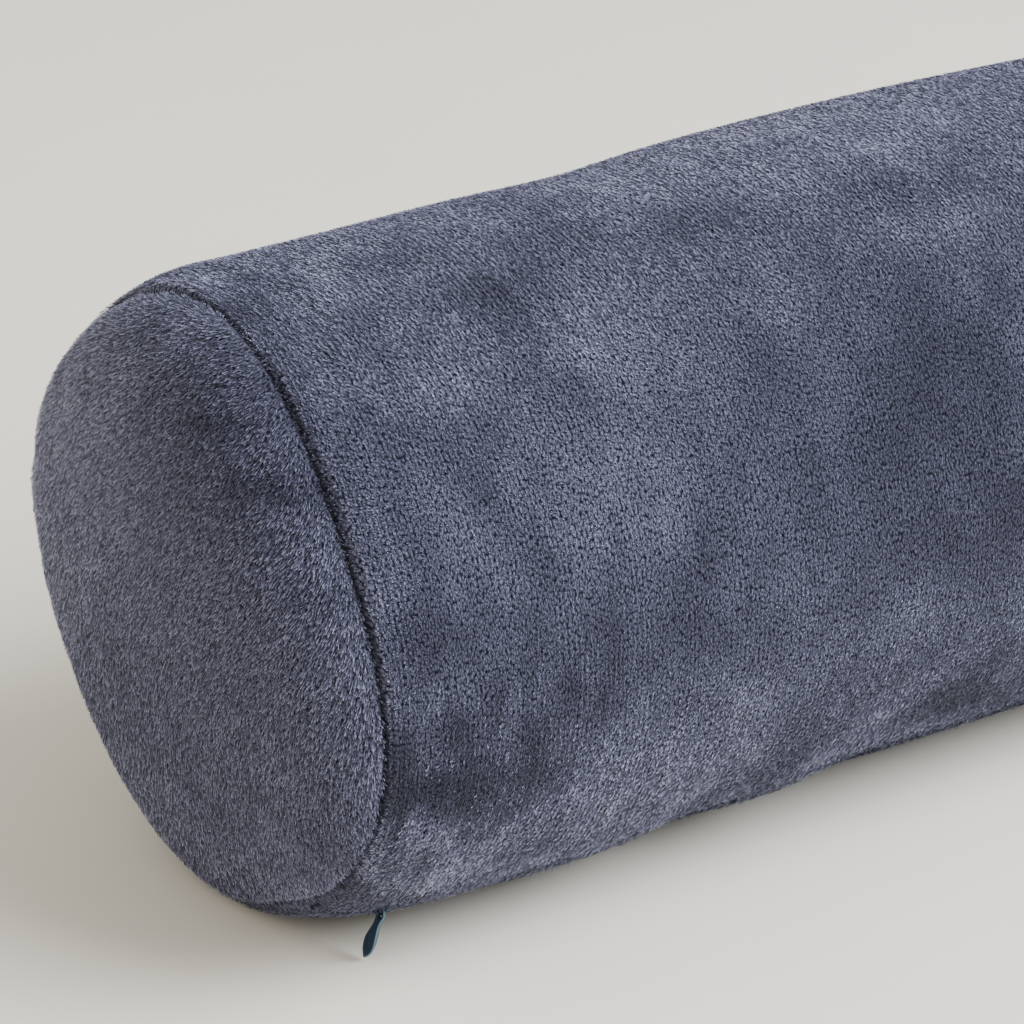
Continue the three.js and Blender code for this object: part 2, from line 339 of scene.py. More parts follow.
# The closing seam and the zip at its near end
CLOSING_ANGLE = 234.0
CLOSING_DEPTH = 2.2
CLOSING_WIDTH = 1.6
CLOSING_LIP = 0.1 * CLOSING_DEPTH
CLOSING_LIP_PLACE = 2.2 * CLOSING_WIDTH
CLOSING_FADE = 6.0
CLOSING_LEAST = 0.35
SLIDER_ALONG = 15.0
SLIDER_CLEARING = 3.0
BAIL_BAND_LEVEL = 1.2
PULL_LENGTH = 14.2
PULL_EYE_RADIUS = 0.85
PULL_EYE_FROM_END = 1.35
PULL_TIP_HEIGHT = 0.7
PULL_HEADING = 122.0
PULL_HALF_THICKNESS = 0.46
PullWidth = namedtuple("PullWidth", "share half")
PULL_OUTLINE = (
    PullWidth(0.0, 0.0),
    PullWidth(0.02, 0.8),
    PullWidth(0.095, 1.3),
    PullWidth(0.2, 0.95),
    PullWidth(0.32, 0.85),
    PullWidth(0.5, 1.3),
    PullWidth(0.7, 1.8),
    PullWidth(0.86, 1.4),
    PullWidth(0.96, 0.5),
    PullWidth(1.0, 0.0),
)

# The pull's section from its eye to its outer edge: share of the way out, and height over half the thickness
Edge = namedtuple("Edge", "out height")
PULL_SECTION = (
    Edge(0.0, 0.0),
    Edge(0.02, 0.5),
    Edge(0.1, 0.8),
    Edge(0.3, 0.78),
    Edge(0.55, 0.78),
    Edge(0.7, 0.82),
    Edge(0.8, 1.0),
    Edge(0.9, 0.95),
    Edge(0.97, 0.65),
    Edge(1.0, 0.0),
)

# Tufts of pile: their roots, the way they lie, height, tone, gathering, and cells on the bake map
Tufts = namedtuple("Tufts", "root normal heading lean tall tone gather cell cell_size")

# How the blades of a tuft vary, the share with a wide tip, and their shades from root to tip, with painted
# shade at the root
BLADE_SPREAD = 0.15
BLADE_SPREAD_ALONG = 0.5
BLADE_LEAN_VARIES = 7.0
BLADE_LEAN_LIMITS = (5, 78)
BLADE_LENGTHS = (0.7, 1.15)
BLADE_HALF_WIDTHS = (0.35, 0.65)
BLADE_TWIST = 0.6
BLADE_LOWEST = 0.1
BRUSH_SHARE = 0.75
ROOT_PAINTED_SHADE = 0.12
TIP_SHADE_MOST = 1.43
TIP_SHADE_FALL = 1.46
MIDDLE_SHADE = 0.5
BAKE_CORNERS = ((0.1, 0.1), (0.9, 0.1), (0.5, 0.9))

# Cells of the finishes in millimetres, those of the plush across and along its nap, and the shares of their
# colours that the mottle of enamel and paper takes
ROOT_CELL = (0.5, 0.85)
FIBRE_CELL = (0.22, 0.9)
ENAMEL_CELL = 0.8
ENAMEL_SHARES = (0.8, 1.3)
PAPER_CELL = 60.0
PAPER_SHARE = 0.98
PLUSH_SHEEN = {"Sheen Weight": 0.1, "Sheen Roughness": 0.45, "Sheen Tint": (0.72, 0.78, 0.95, 1.0)}

# The lights: width and place in metres, and tint
Light = namedtuple("Light", "width place tint")
LIGHTS = {
    "key": Light(1.3, (0.76, -1.03, 1.25), (0.94, 0.965, 1.0)),
    "fill": Light(1.4, (-1.3, -0.2, 1.1), (1.0, 0.85, 0.66)),
}
SKY_TINT = (1.0, 0.98, 0.92, 1.0)

# The camera at the photograph's viewing angle, in metres and degrees, and its sensor in millimetres
CAMERA_PLACE = (-0.5553, -0.6525, 0.4371)
CAMERA_AZIMUTH = -33.53
CAMERA_ELEVATION = 24.79
CAMERA_CLIP = 0.02
SENSOR_WIDTH = 36.0

# Steps of the grids and of the pile
TUBE_ROWS = 121
AROUND = 192
END_ROWS = 40
PULL_STEPS = 46
TUBE_STRIPS = 4
BLADES_IN_TUFT = 4

# The cloth simulation: its grids and frames, the height under which the cloth is held, its spare length, mass
# and pressure, and the share of its puckers that each cover takes
CLOTH_ROWS = 81
CLOTH_AROUND = 96
CLOTH_END_ROWS = 14
CLOTH_FRAMES = 20
CLOTH_HOLD = 1.0
CLOTH_SPARE = 0.004
CLOTH_MASS = 0.05
FILLING_PRESSURE = 100.0
TUBE_PUCKER = 0.6
END_PUCKER = 0.3


def linear(code):
    """Turn an sRGB hex colour into linear red, green and blue."""
    shares = np.array([int(code[place:place + 2], 16) for place in (1, 3, 5)]) / 255
    return tuple(np.where(shares <= 0.04045, shares / 12.92, ((shares + 0.055) / 1.055) ** 2.4).tolist())


class PillowSizes(bpy.types.PropertyGroup):
    """Sizes of the sewn covers and their pile."""

    crown: FloatProperty(
        name="Crown", description="How far the filling pushes an end panel out past its seam",
        default=0.020, min=0.0, unit="LENGTH", subtype="DISTANCE")
    ground_depth: FloatProperty(
        name="Ground Depth", description="How far the ground cloth lies below the tips of the pile",
        default=0.0006, min=0.0, unit="LENGTH", subtype="DISTANCE")
    pile_height: FloatProperty(
        name="Pile Height", description="How high the pile stands over the ground cloth",
        default=0.00065, min=0.0, unit="LENGTH", subtype="DISTANCE")
    pile_length: FloatProperty(
        name="Pile Length", description="Most length of a blade of pile, where it lies down",
        default=0.0016, min=0.0, unit="LENGTH", subtype="DISTANCE")
    tuft_pitch: FloatProperty(
        name="Tuft Pitch", description="Distance between columns of tufts along the roll",
        default=0.0012, min=0.0005, unit="LENGTH", subtype="DISTANCE")
    tuft_spacing: FloatProperty(
        name="Tuft Spacing", description="Distance between tufts round the roll",
        default=0.00088, min=0.0005, unit="LENGTH", subtype="DISTANCE")
    blade_width: FloatProperty(
        name="Blade Width", description="Width of one blade of fibres in a tuft",
        default=0.00023, min=0.0001, unit="LENGTH", subtype="DISTANCE")
    swell: FloatProperty(
        name="Swell", description="Most that the filling may push the cloth out from its slack shape",
        default=0.005, min=0.0, unit="LENGTH", subtype="DISTANCE")


class PillowColours(bpy.types.PropertyGroup):
    """Colours of the plush and the zip."""

    # Painted shade: the darkest colour, taken by the plush where shade falls between the tufts
    pile_deep_shade: FloatVectorProperty(
        name="Pile Deep", description="Plush colour down between the tufts",
        size=3, min=0.0, max=1.0, subtype="COLOR", default=linear("#090a1a"))
    pile_middle: FloatVectorProperty(
        name="Pile Middle", description="Plush colour half way up a tuft",
        size=3, min=0.0, max=1.0, subtype="COLOR", default=linear("#70728d"))
    pile_tip: FloatVectorProperty(
        name="Pile Tip", description="Plush colour of the palest tips",
        size=3, min=0.0, max=1.0, subtype="COLOR", default=linear("#a0a2b8"))
    enamel: FloatVectorProperty(
        name="Enamel", description="Colour of the enamelled zip slider and pull",
        size=3, min=0.0, max=1.0, subtype="COLOR", default=linear("#0c2438"))
    # Painted highlight: the paler colour laid along the outer edge of the pull
    enamel_edge_highlight: FloatVectorProperty(
        name="Enamel Edge", description="Colour of the enamel where it is thin over an edge",
        size=3, min=0.0, max=1.0, subtype="COLOR", default=linear("#5c7886"))


class PillowStage(bpy.types.PropertyGroup):
    """The floor, light and camera."""

    floor: FloatVectorProperty(
        name="Floor", description="Colour of the floor",
        size=3, min=0.0, max=1.0, subtype="COLOR", default=linear("#f5f1e6"))
    key_power: FloatProperty(
        name="Key Light", description="Power of the large light at the right",
        default=70.0, min=0.0, unit="POWER")
    fill_power: FloatProperty(
        name="Fill Light", description="Power of the light at the left", default=6.0, min=0.0, unit="POWER")
    sky: FloatProperty(
        name="Sky", description="Strength of the light from all round", default=0.74, min=0.0)
    lens: FloatProperty(
        name="Lens", description="Focal length of the camera in millimetres", default=135.0, min=10.0)
    floor_size: IntProperty(
        name="Floor Size", description="Width of the floor in metres", default=8, min=1)


def length_of(vectors):
    """Lengths of an array of vectors, kept as a last axis of one."""
    return np.linalg.norm(vectors, axis=-1, keepdims=True)


def unit(vectors):
    """Vectors scaled to a length of one."""
    return vectors / np.maximum(length_of(vectors), 1e-12)


def turn_between(first, second):
    """Shortest way round from one angle in degrees to another, from -180 to 180."""
    return (second - first + 180) % 360 - 180


def hump(distance, width):
    """A soft hump: the bell curve that is 1 at no distance and falls off over a width."""
    return np.exp(-(distance / width) ** 2)


def cubic_weights(share):
    """Weights of four points in a row for a smooth curve between the middle two: the Catmull-Rom blend."""
    square, cube = share ** 2, share ** 3
    return (
        -0.5 * cube + square - 0.5 * share,
        1.5 * cube - 2.5 * square + 1,
        -1.5 * cube + 2 * square + 0.5 * share,
        0.5 * cube - 0.5 * square,
    )


def sample(grid, row, column):
    """Values of a grid at parts of rows and columns: smooth blends of four by four, closed round."""
    rows, columns = grid.shape[:2]
    row_start = np.clip(np.floor(row).astype(int), 0, rows - 2)
    column_start = np.floor(column).astype(int)
    blended = 0
    for step_down, weight_down in enumerate(cubic_weights(row - row_start)):
        rows_taken = np.clip(row_start + step_down - 1, 0, rows - 1)
        for step_across, weight_across in enumerate(cubic_weights(column - column_start)):
            columns_taken = (column_start + step_across - 1) % columns
            blended = blended + grid[rows_taken, columns_taken] * (weight_down * weight_across)[..., None]
    return blended


def soft_noise(down, across, noise):
    """Smooth random values about zero: seeded heights on a lattice of cells, joined by the cubic blend."""
    heights = np.random.default_rng(noise.seed).uniform(-1, 1, (noise.down + 1, noise.across, 1))
    return sample(heights, down * noise.down, across * noise.across)[..., 0]


def slack(angle, spread):
    """How slack a cover hangs low down at its front, from 0 to 1: a bell curve that trails off below."""
    turn = turn_between(SLACK_ANGLE, angle)
    return hump(turn, np.where(turn > 0, SLACK_TRAILS * spread, spread))


def seam_radius(angle, seam):
    """Radius of a sewn seam: a circle with a low wave of four corners.

    The sides between the corners are fuller at the back, and the seam is drawn in where the cover hangs
    slack.
    """
    wave = np.cos(np.radians(SEAM_CORNERS * (angle - seam.corner_angle)))
    back = np.sqrt(np.clip(np.cos(np.radians(angle)), 0, 1))
    full = BACK_FULLNESS * back * (1 - wave) / 2
    return SEAM_RADIUS + seam.wave * wave + full - SLACK_LIFTS * slack(angle, SLACK_LIFT_SPREAD)


def bell(along, angle, place):
    """Soft bump about a place on the tube: a hump along the roll by its reach, times one round it."""
    turned = turn_between(place.angle, angle)
    return hump(along - place.along, place.reach) * hump(turned, place.spread)


def roll_surface(along, angle, depth):
    """Points of the tube at a depth below the tips of its pile.

    A circle at each distance along the roll. Its radius swells towards the middle, draws in to the seam along
    a quarter of an ellipse, and takes the bell-shaped folds. What would lie below the rest is cut flat.
    """
    from_seam = np.minimum(along, ROLL_LENGTH - along)
    full = np.sqrt(1 - (1 - np.clip(from_seam / SHOULDER, 0, 1)) ** 2)
    plain = RADIUS_ENDS + (RADIUS_MIDDLE - RADIUS_ENDS) * np.sin(np.pi * along / ROLL_LENGTH) ** 2
    seams = np.where(along < ROLL_LENGTH / 2, seam_radius(angle, NEAR_SEAM), seam_radius(angle, FAR_SEAM))
    rise = sum(fold.rise * bell(along, angle, fold) for fold in FOLDS)
    radius = seams + (plain - seams + rise) * full - depth
    height = SEAM_HEIGHT + (plain - REST_SINK - SEAM_HEIGHT) * full
    turn = np.radians(angle)
    flat = np.minimum(depth, FLAT_DEPTH)
    return np.stack([
        along - ROLL_LENGTH / 2 + 0 * angle,
        radius * np.cos(turn),
        np.maximum(height + radius * np.sin(turn), flat),
    ], axis=-1)


def crown_profile(share, angle):
    """Height of an end panel's crown over its seam, as a share of the whole.

    A rounded power of the share of the radius: steep at the seam, and flatter where the panel hangs slack.
    """
    power = CROWN_STEEPNESS + SLACK_FLATTENS * slack(angle, SLACK_SPREAD)
    return np.clip(1 - share ** CROWN_ROUNDNESS, 0, 1) ** power


def seam_open(angle):
    """How open a sewn seam lies, from 0 to 1: the pile closes over it at the top towards the back."""
    return 1 - SEAM_CLOSED_SHARE * hump(turn_between(SEAM_CLOSED_ANGLE, angle), SEAM_CLOSED_SPREAD)


def seam_dip(from_seam, angle, lip):
    """Depth in millimetres to which a cover draws in by a sewn seam.

    A narrow, uneven valley, deeper and wider where the cover hangs slack, with a low lip beside it.
    """
    loose = slack(angle, SLACK_SEAM_SPREAD)
    uneven = VALLEY_MEAN + VALLEY_VARIES * soft_noise(0 * angle, angle / 360 % 1, VALLEY_UNEVEN)
    deep = VALLEY_DEPTH * (uneven * seam_open(angle) + VALLEY_SLACK_DEPTH * loose)
    valley = deep * hump(from_seam / VALLEY_WIDTH, 1 + VALLEY_SLACK_WIDTH * loose)
    return valley - lip * hump(from_seam - LIP_PLACE, LIP_WIDTH)


def seam_shadow(from_seam, angle):
    """Share of light that reaches the ground cloth near a sewn seam."""
    return 1 - SEAM_SHADE * seam_open(angle) * hump(from_seam, SEAM_SHADE_WIDTH)


def seam_bare(angle):
    """Width in millimetres of the bare strip beside a sewn seam, wider where the cover hangs slack."""
    return SEAM_BARE * (1 + SEAM_SLACK_BARE * slack(angle, SLACK_SEAM_SPREAD))


def seam_rim(from_seam, angle):
    """Tone of the tube's pile beside a sewn seam: pale on the lip, and painted shade dark in the open valley.
    """
    pale = RIM_PALE * hump(from_seam - RIM_PALE_PLACE, RIM_PALE_WIDTH)
    return pale - RIM_PAINTED_SHADE * seam_open(angle) * hump(from_seam, RIM_PAINTED_SHADE_WIDTH)


def trimmed_share(from_seam, angle):
    """Share of its lean and length that the pile keeps near a sewn seam, where it is trimmed."""
    loose = slack(angle, SLACK_SEAM_SPREAD)
    least = TRIM_LEAST - TRIM_SLACK_LESS * loose
    return least + (1 - least) * np.clip(from_seam / SEAM_TRIM / (1 + TRIM_SLACK_WIDER * loose), 0, 1)


def end_surface(share, angle, seam, crown, depth):
    """Points of an end panel at a depth below the tips of its pile.

    Rings from the middle, share 0, to the seam, share 1. The crown falls off by its profile and leans a
    little fuller towards the top.
    """
    turn = np.radians(angle)
    dome = crown_profile(share, angle) * (1 + CROWN_LEAN * share * np.sin(turn))
    radius = share * (seam_radius(angle, seam) - depth)
    return np.stack([
        seam.side * (ROLL_LENGTH / 2 + (crown - depth) * dome),
        radius * np.cos(turn),
        SEAM_HEIGHT + radius * np.sin(turn),
    ], axis=-1)


def tube_stations(rows):
    """Distances along the roll for the rows of a grid, much closer together at the seams."""
    return ROLL_LENGTH * (0.5 - 0.5 * np.cos(np.linspace(0, np.pi, rows)))


def end_stations(rows):
    """Shares of the radius for the rows of an end panel, closer at the seam, without the middle point."""
    share = np.linspace(0, 1, rows + 1)[1:]
    return np.sin(share * np.pi / 2)


def ring_angles(columns):
    """Angles of the columns of a grid that closes round."""
    return np.arange(columns) * 360 / columns


def grid_quads(rows, columns, first=0):
    """Corner numbers of the quads between neighbouring rows of a grid that closes round."""
    row, column = np.meshgrid(np.arange(rows - 1), np.arange(columns), indexing="ij")
    beside = (column + 1) % columns
    quads = np.stack([row * columns + column, row * columns + beside,
                      (row + 1) * columns + beside, (row + 1) * columns + column], axis=-1)
    return quads.reshape(-1, 4) + first


def fan(ring, middle):
    """Triangles from each step of a ring of corners to one middle corner."""
    return np.stack([ring, np.roll(ring, -1), np.full_like(ring, middle)], axis=-1)


def inflate(points, faces, held, limit):
    """Blow up a closed cloth, sewn down where held, with Blender's cloth simulation.

    Pressure pushes each face outwards for a few frames without gravity. The result is where each point goes,
    by no more than the limit.
    """
    mesh = bpy.data.meshes.new("slack_cover")
    mesh.from_pydata(points.tolist(), [], [face for group in faces for face in group.tolist()])
    cover = bpy.data.objects.new("slack_cover", mesh)
    scene = bpy.context.scene
    scene.collection.objects.link(cover)
    sewn = cover.vertex_groups.new(name="sewn")
    sewn.add(np.flatnonzero(held).tolist(), 1.0, "REPLACE")
    settings = cover.modifiers.new("filling", "CLOTH").settings
    settings.vertex_group_mass = sewn.name
    settings.use_pressure = True
    settings.uniform_pressure_force = FILLING_PRESSURE
    settings.effector_weights.gravity = 0.0
    settings.shrink_min = -CLOTH_SPARE
    settings.mass = CLOTH_MASS
    for number in range(1, CLOTH_FRAMES + 1):
        scene.frame_set(number)
    full = cover.evaluated_get(bpy.context.evaluated_depsgraph_get())
    moved = np.empty(points.size)
    full.data.vertices.foreach_get("co", moved)
    scene.frame_set(1)
    bpy.data.objects.remove(cover)
    bpy.data.meshes.remove(mesh)
    shift = moved.reshape(-1, 3) - points
    return shift * np.minimum(1, limit / np.maximum(length_of(shift), 1e-9))


def grid_normals(points):
    """Outward directions of a grid that closes round, square to its steps round and down its rows."""
    around = np.roll(points, -1, axis=1) - np.roll(points, 1, axis=1)
    return unit(np.cross(around, np.gradient(points, axis=0)))


def puckers(sizes):
    """Puckers that the filling presses into the tube and the two ends, as grids of heights in millimetres.

    The tube and both ends are simulated as one closed cloth, sewn down along its seams and held where it
    rests. Each point's move outwards is taken less the mean of its ring, so the pillow keeps its form.
    """
    crown, depth = sizes.crown / MM, (sizes.ground_depth + sizes.swell / 2) / MM
    angle = ring_angles(CLOTH_AROUND)[None, :]
    along = np.linspace(0, ROLL_LENGTH, CLOTH_ROWS)[:, None]
    share = end_stations(CLOTH_END_ROWS)[:-1, None]
    tube = roll_surface(along, angle, depth)
    ends = [end_surface(share, angle, seam, crown, depth) for seam in ENDS.values()]
    tops = [end_surface(np.zeros(1), np.zeros(1), seam, crown, depth) for seam in ENDS.values()]
    points = np.concatenate([tube.reshape(-1, 3), ends[0].reshape(-1, 3), ends[1].reshape(-1, 3), *tops])
    ring = np.arange(CLOTH_AROUND)
    tube_count, end_count = tube.size // 3, ends[0].size // 3
    seams = (ring, ring + tube_count - CLOTH_AROUND)
    faces = [grid_quads(CLOTH_ROWS, CLOTH_AROUND)]
    for number, order in ((0, 1), (1, -1)):
        first = tube_count + number * end_count
        last = first + end_count - CLOTH_AROUND + ring
        joint = np.stack([last, np.roll(last, -1), np.roll(seams[number], -1), seams[number]], axis=-1)
        middle = fan(first + ring, tube_count + 2 * end_count + number)[:, ::-1]
        faces += [group[:, ::order] for group in (grid_quads(len(share), CLOTH_AROUND, first), joint, middle)]
    held = points[:, 2] < CLOTH_HOLD
    held[np.concatenate(seams)] = True
    shift = inflate(points * MM, faces, held, sizes.swell) / MM
    parts = np.split(shift, [tube_count, tube_count + end_count, tube_count + 2 * end_count])
    heights = []
    shares = (TUBE_PUCKER, END_PUCKER, END_PUCKER)
    for grid, part, side, pucker in zip((tube, *ends), parts, (1, 1, -1), shares):
        out = np.sum(part.reshape(grid.shape) * grid_normals(grid) * side, axis=-1, keepdims=True)
        heights.append(pucker * (out - out.mean(axis=1, keepdims=True)))
    return heights


def tube_mood(along, angle):
    """How the tube's nap lies: light or dark mood, slow drift and fine drift, each smooth round zero.

    The mood is the sum of the brushed patches and the patches of painted light and shade, their edges warped
    by the drifts, of the drifts themselves, and of fine streaks that are strongest in the creased patch.
    """
    there = np.clip(along / ROLL_LENGTH, 0, 1), angle / 360
    drift = soft_noise(*there, TUBE_DRIFT)
    fine = soft_noise(*there, TUBE_FINE)
    streak = soft_noise(*there, TUBE_STREAK)
    along = along + FINE_WARP * fine + STREAK_WARP * streak
    angle = angle + DRIFT_WARP * drift - FINE_WARP * fine
    patches = sum(patch.tone * bell(along, angle, patch) for patch in NAP_AND_LIGHT_PATCHES)
    creased = CREASE_LEAST + CREASE_PATCH.tone * bell(along, angle, CREASE_PATCH)
    return patches + TUBE_DRIFT_TONE * drift + TUBE_FINE_TONE * fine + creased * streak, drift, fine


def end_mood(across, up):
    """How an end panel's nap lies, with its painted light and shade: light or dark mood, slow drift and fine
    drift, each smooth round zero.
    """
    there = across / END_MAP_WIDTH + 0.5, up / END_MAP_WIDTH + 0.5
    drift = soft_noise(*there, END_DRIFT)
    fine = soft_noise(*there, END_FINE)
    across, up = across + FINE_WARP * fine, up + DRIFT_WARP * drift - END_WARP_UP * fine
    patches = sum(
        patch.tone * hump(across - patch.across, patch.wide) * hump(up - patch.up, patch.high)
        for patch in END_NAP_AND_LIGHT_PATCHES)
    return patches + END_DRIFT_TONE * drift + END_FINE_TONE * fine, drift, fine


def tube_nap(angle):
    """Turn and lean of the tube's pile at angles round it, in degrees."""
    rows = np.array(TUBE_NAP)
    return [np.interp(angle % 360, rows[:, 0], rows[:, column]) for column in (1, 2)]


def end_reach(points):
    """Distances over an end panel's crown from its middle to each row of its grid."""
    steps = np.diff(np.concatenate([points[:1].mean(axis=1), points[:, 0]]), axis=0)
    return length_of(steps)[:, 0].cumsum()


def put_flat_map(mesh, places, order=1):
    """Lay a cover's grid out flat in millimetres across and along its nap, and its middle fan round zero."""
    rows, columns = places.shape[0] - 1, places.shape[1] - 1
    row, column = np.meshgrid(np.arange(rows), np.arange(columns), indexing="ij")
    corners = np.stack([places[row, column], places[row, column + 1],
                        places[row + 1, column + 1], places[row + 1, column]], axis=2)[:, :, ::order]
    ring = places[0]
    middle = np.stack([0 * ring[1:], ring[1:], ring[:-1]], axis=1)[:, ::order]
    flat = np.zeros((len(mesh.loops), 2), np.float32)
    laid = np.concatenate([corners.reshape(-1, 2), middle.reshape(-1, 2)])
    flat[:len(laid)] = laid
    mesh.uv_layers.new(name="nap").uv.foreach_set("vector", flat.ravel())


def put_mesh(name, points, faces, material, smooth=True):
    """Make a piece from points in millimetres and arrays of faces, and let it ride on the pillow's body."""
    mesh = bpy.data.meshes.new(name)
    corners = np.concatenate([group.ravel() for group in faces])
    sides = np.concatenate([np.full(len(group), group.shape[1]) for group in faces])
    mesh.vertices.add(len(points))
    mesh.vertices.foreach_set("co", (points * MM).astype(np.float32).ravel())
    mesh.loops.add(len(corners))
    mesh.loops.foreach_set("vertex_index", corners.astype(np.int32))
    mesh.polygons.add(len(sides))
    mesh.polygons.foreach_set("loop_start", (np.cumsum(sides) - sides).astype(np.int32))
    mesh.polygons.foreach_set("use_smooth", np.full(len(sides), smooth))
    mesh.update(calc_edges=True)
    mesh.validate()
    mesh.materials.append(material)
    made = bpy.data.objects.new(name, mesh)
    bpy.context.scene.collection.objects.link(made)
    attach(made, "root")
    return made


def put_numbers(mesh, name, values):
    """Give each point of a mesh a number that its material can read."""
    mesh.attributes.new(name, "FLOAT", "POINT").data.foreach_set("value", values.astype(np.float32).ravel())


def read_grid(name, rows):
    """Points in millimetres and outward directions of a cover's grid, read back from its mesh."""
    mesh = bpy.data.objects[name].data
    points, normals = np.empty(len(mesh.vertices) * 3), np.empty(len(mesh.vertices) * 3)
    mesh.vertices.foreach_get("co", points)
    mesh.vertex_normals.foreach_get("vector", normals)
    count = rows * AROUND * 3
    return (points[:count] / MM).reshape(rows, AROUND, 3), normals[:count].reshape(rows, AROUND, 3)


def closing_groove(along, angle):
    """Depth in millimetres of the closing seam: a narrow trough along the roll, with a low lip over it."""
    across = np.radians(turn_between(CLOSING_ANGLE, angle)) * RADIUS_ENDS
    trough = CLOSING_DEPTH * hump(across, CLOSING_WIDTH)
    lip = CLOSING_LIP * hump(across + CLOSING_LIP_PLACE, CLOSING_WIDTH)
    inside = np.clip(np.minimum(along, ROLL_LENGTH - along) / CLOSING_FADE, 0, 1)
    return (trough - lip) * (CLOSING_LEAST + (1 - CLOSING_LEAST) * inside)


def add_node(tree, kind, settings=None, values=None, links=None):
    """Add one node: settings go on it, values into its inputs, and links join (node, output) to an input."""
    added = tree.nodes.new(kind)
    for name, value in (settings or {}).items():
        setattr(added, name, value)
    for name, value in (values or {}).items():
        added.inputs[name].default_value = value
    for name, (source, output) in (links or {}).items():
        tree.links.new(source.outputs[output], added.inputs[name])
    return added


def new_material(name):
    """Start a material with only its output node."""
    material = bpy.data.materials.new(name)
    material.use_nodes = True
    material.node_tree.nodes.clear()
    return material, material.node_tree


def set_ramp(ramp, stops):
    """Set the colours of a ramp at their places."""
    elements = ramp.color_ramp.elements
    while len(elements) < len(stops):
        elements.new(1.0)
    for element, (place, colour) in zip(elements, stops):
        element.position = place
        element.color = (*colour, 1.0)


def add_shader(tree, values, links):
    """End a material with its shader, joined to the output."""
    shader = add_node(tree, "ShaderNodeBsdfPrincipled", None, values, links)
    add_node(tree, "ShaderNodeOutputMaterial", links={"Surface": (shader, "BSDF")})


def product(tree, first, second):
    """Add a node that multiplies two outputs."""
    return add_node(tree, "ShaderNodeMath", {"operation": "MULTIPLY"}, links={0: first, 1: second})


def remap(tree, source, low, high, to_low=0.0, to_high=1.0):
    """Add a node that maps one range of an output to another."""
    values = {"From Min": low, "From Max": high, "To Min": to_low, "To Max": to_high}
    return add_node(tree, "ShaderNodeMapRange", values=values, links={"Value": source})


def mottle(tree, cell, detail, stops):
    """Add a soft mottle with cells of some millimetres, coloured by the stops of a ramp."""
    place = add_node(tree, "ShaderNodeTexCoord")
    noise = add_node(
        tree, "ShaderNodeTexNoise", values={"Scale": 1 / (cell * MM), "Detail": detail},
        links={"Vector": (place, "Object")})
    ramp = add_node(tree, "ShaderNodeValToRGB", links={"Fac": (noise, "Fac")})
    set_ramp(ramp, stops)
    return ramp


def nap_cells(tree, nap, cell):
    """Scale a cover's flat map so that one cell, in millimetres across and along the nap, is one unit."""
    scale = (1 / cell[0], 1 / cell[1], 1)
    return add_node(tree, "ShaderNodeMapping", values={"Scale": scale}, links={"Vector": (nap, "UV")})


def plush_ramp(tree, colours, shade):
    """Plush colours from the painted shade deep between tufts, at shade 0, to the palest tips, at shade 1."""
    ramp = add_node(tree, "ShaderNodeValToRGB", links={"Fac": shade})
    set_ramp(ramp, ((0.0, colours.pile_deep_shade), (MIDDLE_SHADE, colours.pile_middle), (1.0, colours.pile_tip)))
    return ramp


def plush_pile(colours):
    """Cut polyester pile: matt fibres, with painted shade dark between the tufts, pale at the tips, with a
    soft sheen.
    """
    material, tree = new_material("polyester plush pile")
    shade = add_node(tree, "ShaderNodeAttribute", {"attribute_name": "shade"})
    ramp = plush_ramp(tree, colours, (shade, "Fac"))
    values = {"Roughness": 0.75, "IOR": 1.45, "Specular IOR Level": 0.25, **PLUSH_SHEEN}
    add_shader(tree, values, {"Base Color": (ramp, "Color")})
    return material


def plush_ground(colours):
    """Roots of the pile on knitted polyester: soft tufts with painted shade in the gaps between them, under
    the loose tips.

    Round cells give the tufts and the painted shade at their edges, stretched noise their fibres, and a wave,
    which at scale 1 repeats every tenth of pi, the wales.
    """
    material, tree = new_material("polyester pile roots")
    nap = add_node(tree, "ShaderNodeUVMap", {"uv_map": "nap"})
    tufts = add_node(
        tree, "ShaderNodeTexVoronoi", {"voronoi_dimensions": "2D"}, {"Scale": 1.0},
        {"Vector": (nap_cells(tree, nap, ROOT_CELL), "Vector")})
    # Painted shade: each tuft's cell darkens from its middle to its edge
    dome = remap(tree, (tufts, "Distance"), 0.1, 0.75, to_low=1.2, to_high=0.0)
    fibre = add_node(
        tree, "ShaderNodeTexNoise", {"noise_dimensions": "2D"}, {"Scale": 1.0, "Detail": 1.0},
        {"Vector": (nap_cells(tree, nap, FIBRE_CELL), "Vector")})
    fleck = remap(tree, (fibre, "Fac"), 0.3, 0.7, to_low=0.4, to_high=1.6)
    wale = add_node(
        tree, "ShaderNodeTexWave",
        values={"Scale": 0.1 * np.pi / WALE_PITCH, "Distortion": 1.2, "Detail": 1.0},
        links={"Vector": (nap, "UV")})
    ridge = remap(tree, (wale, "Fac"), 0.0, 1.0, to_low=0.7, to_high=1.1)
    mood = add_node(tree, "ShaderNodeAttribute", {"attribute_name": "shade"})
    grain = product(tree, (dome, "Result"), (fleck, "Result"))
    lit = product(tree, (grain, "Value"), (ridge, "Result"))
    shade = product(tree, (lit, "Value"), (mood, "Fac"))
    ramp = plush_ramp(tree, colours, (shade, "Value"))
    bump = add_node(
        tree, "ShaderNodeBump", values={"Strength": 0.7, "Distance": 0.4 * MM},
        links={"Height": (grain, "Value")})
    values = {"Roughness": 0.85, "Specular IOR Level": 0.15, **PLUSH_SHEEN}
    add_shader(tree, values, {"Base Color": (ramp, "Color"), "Normal": (bump, "Normal")})
    return material


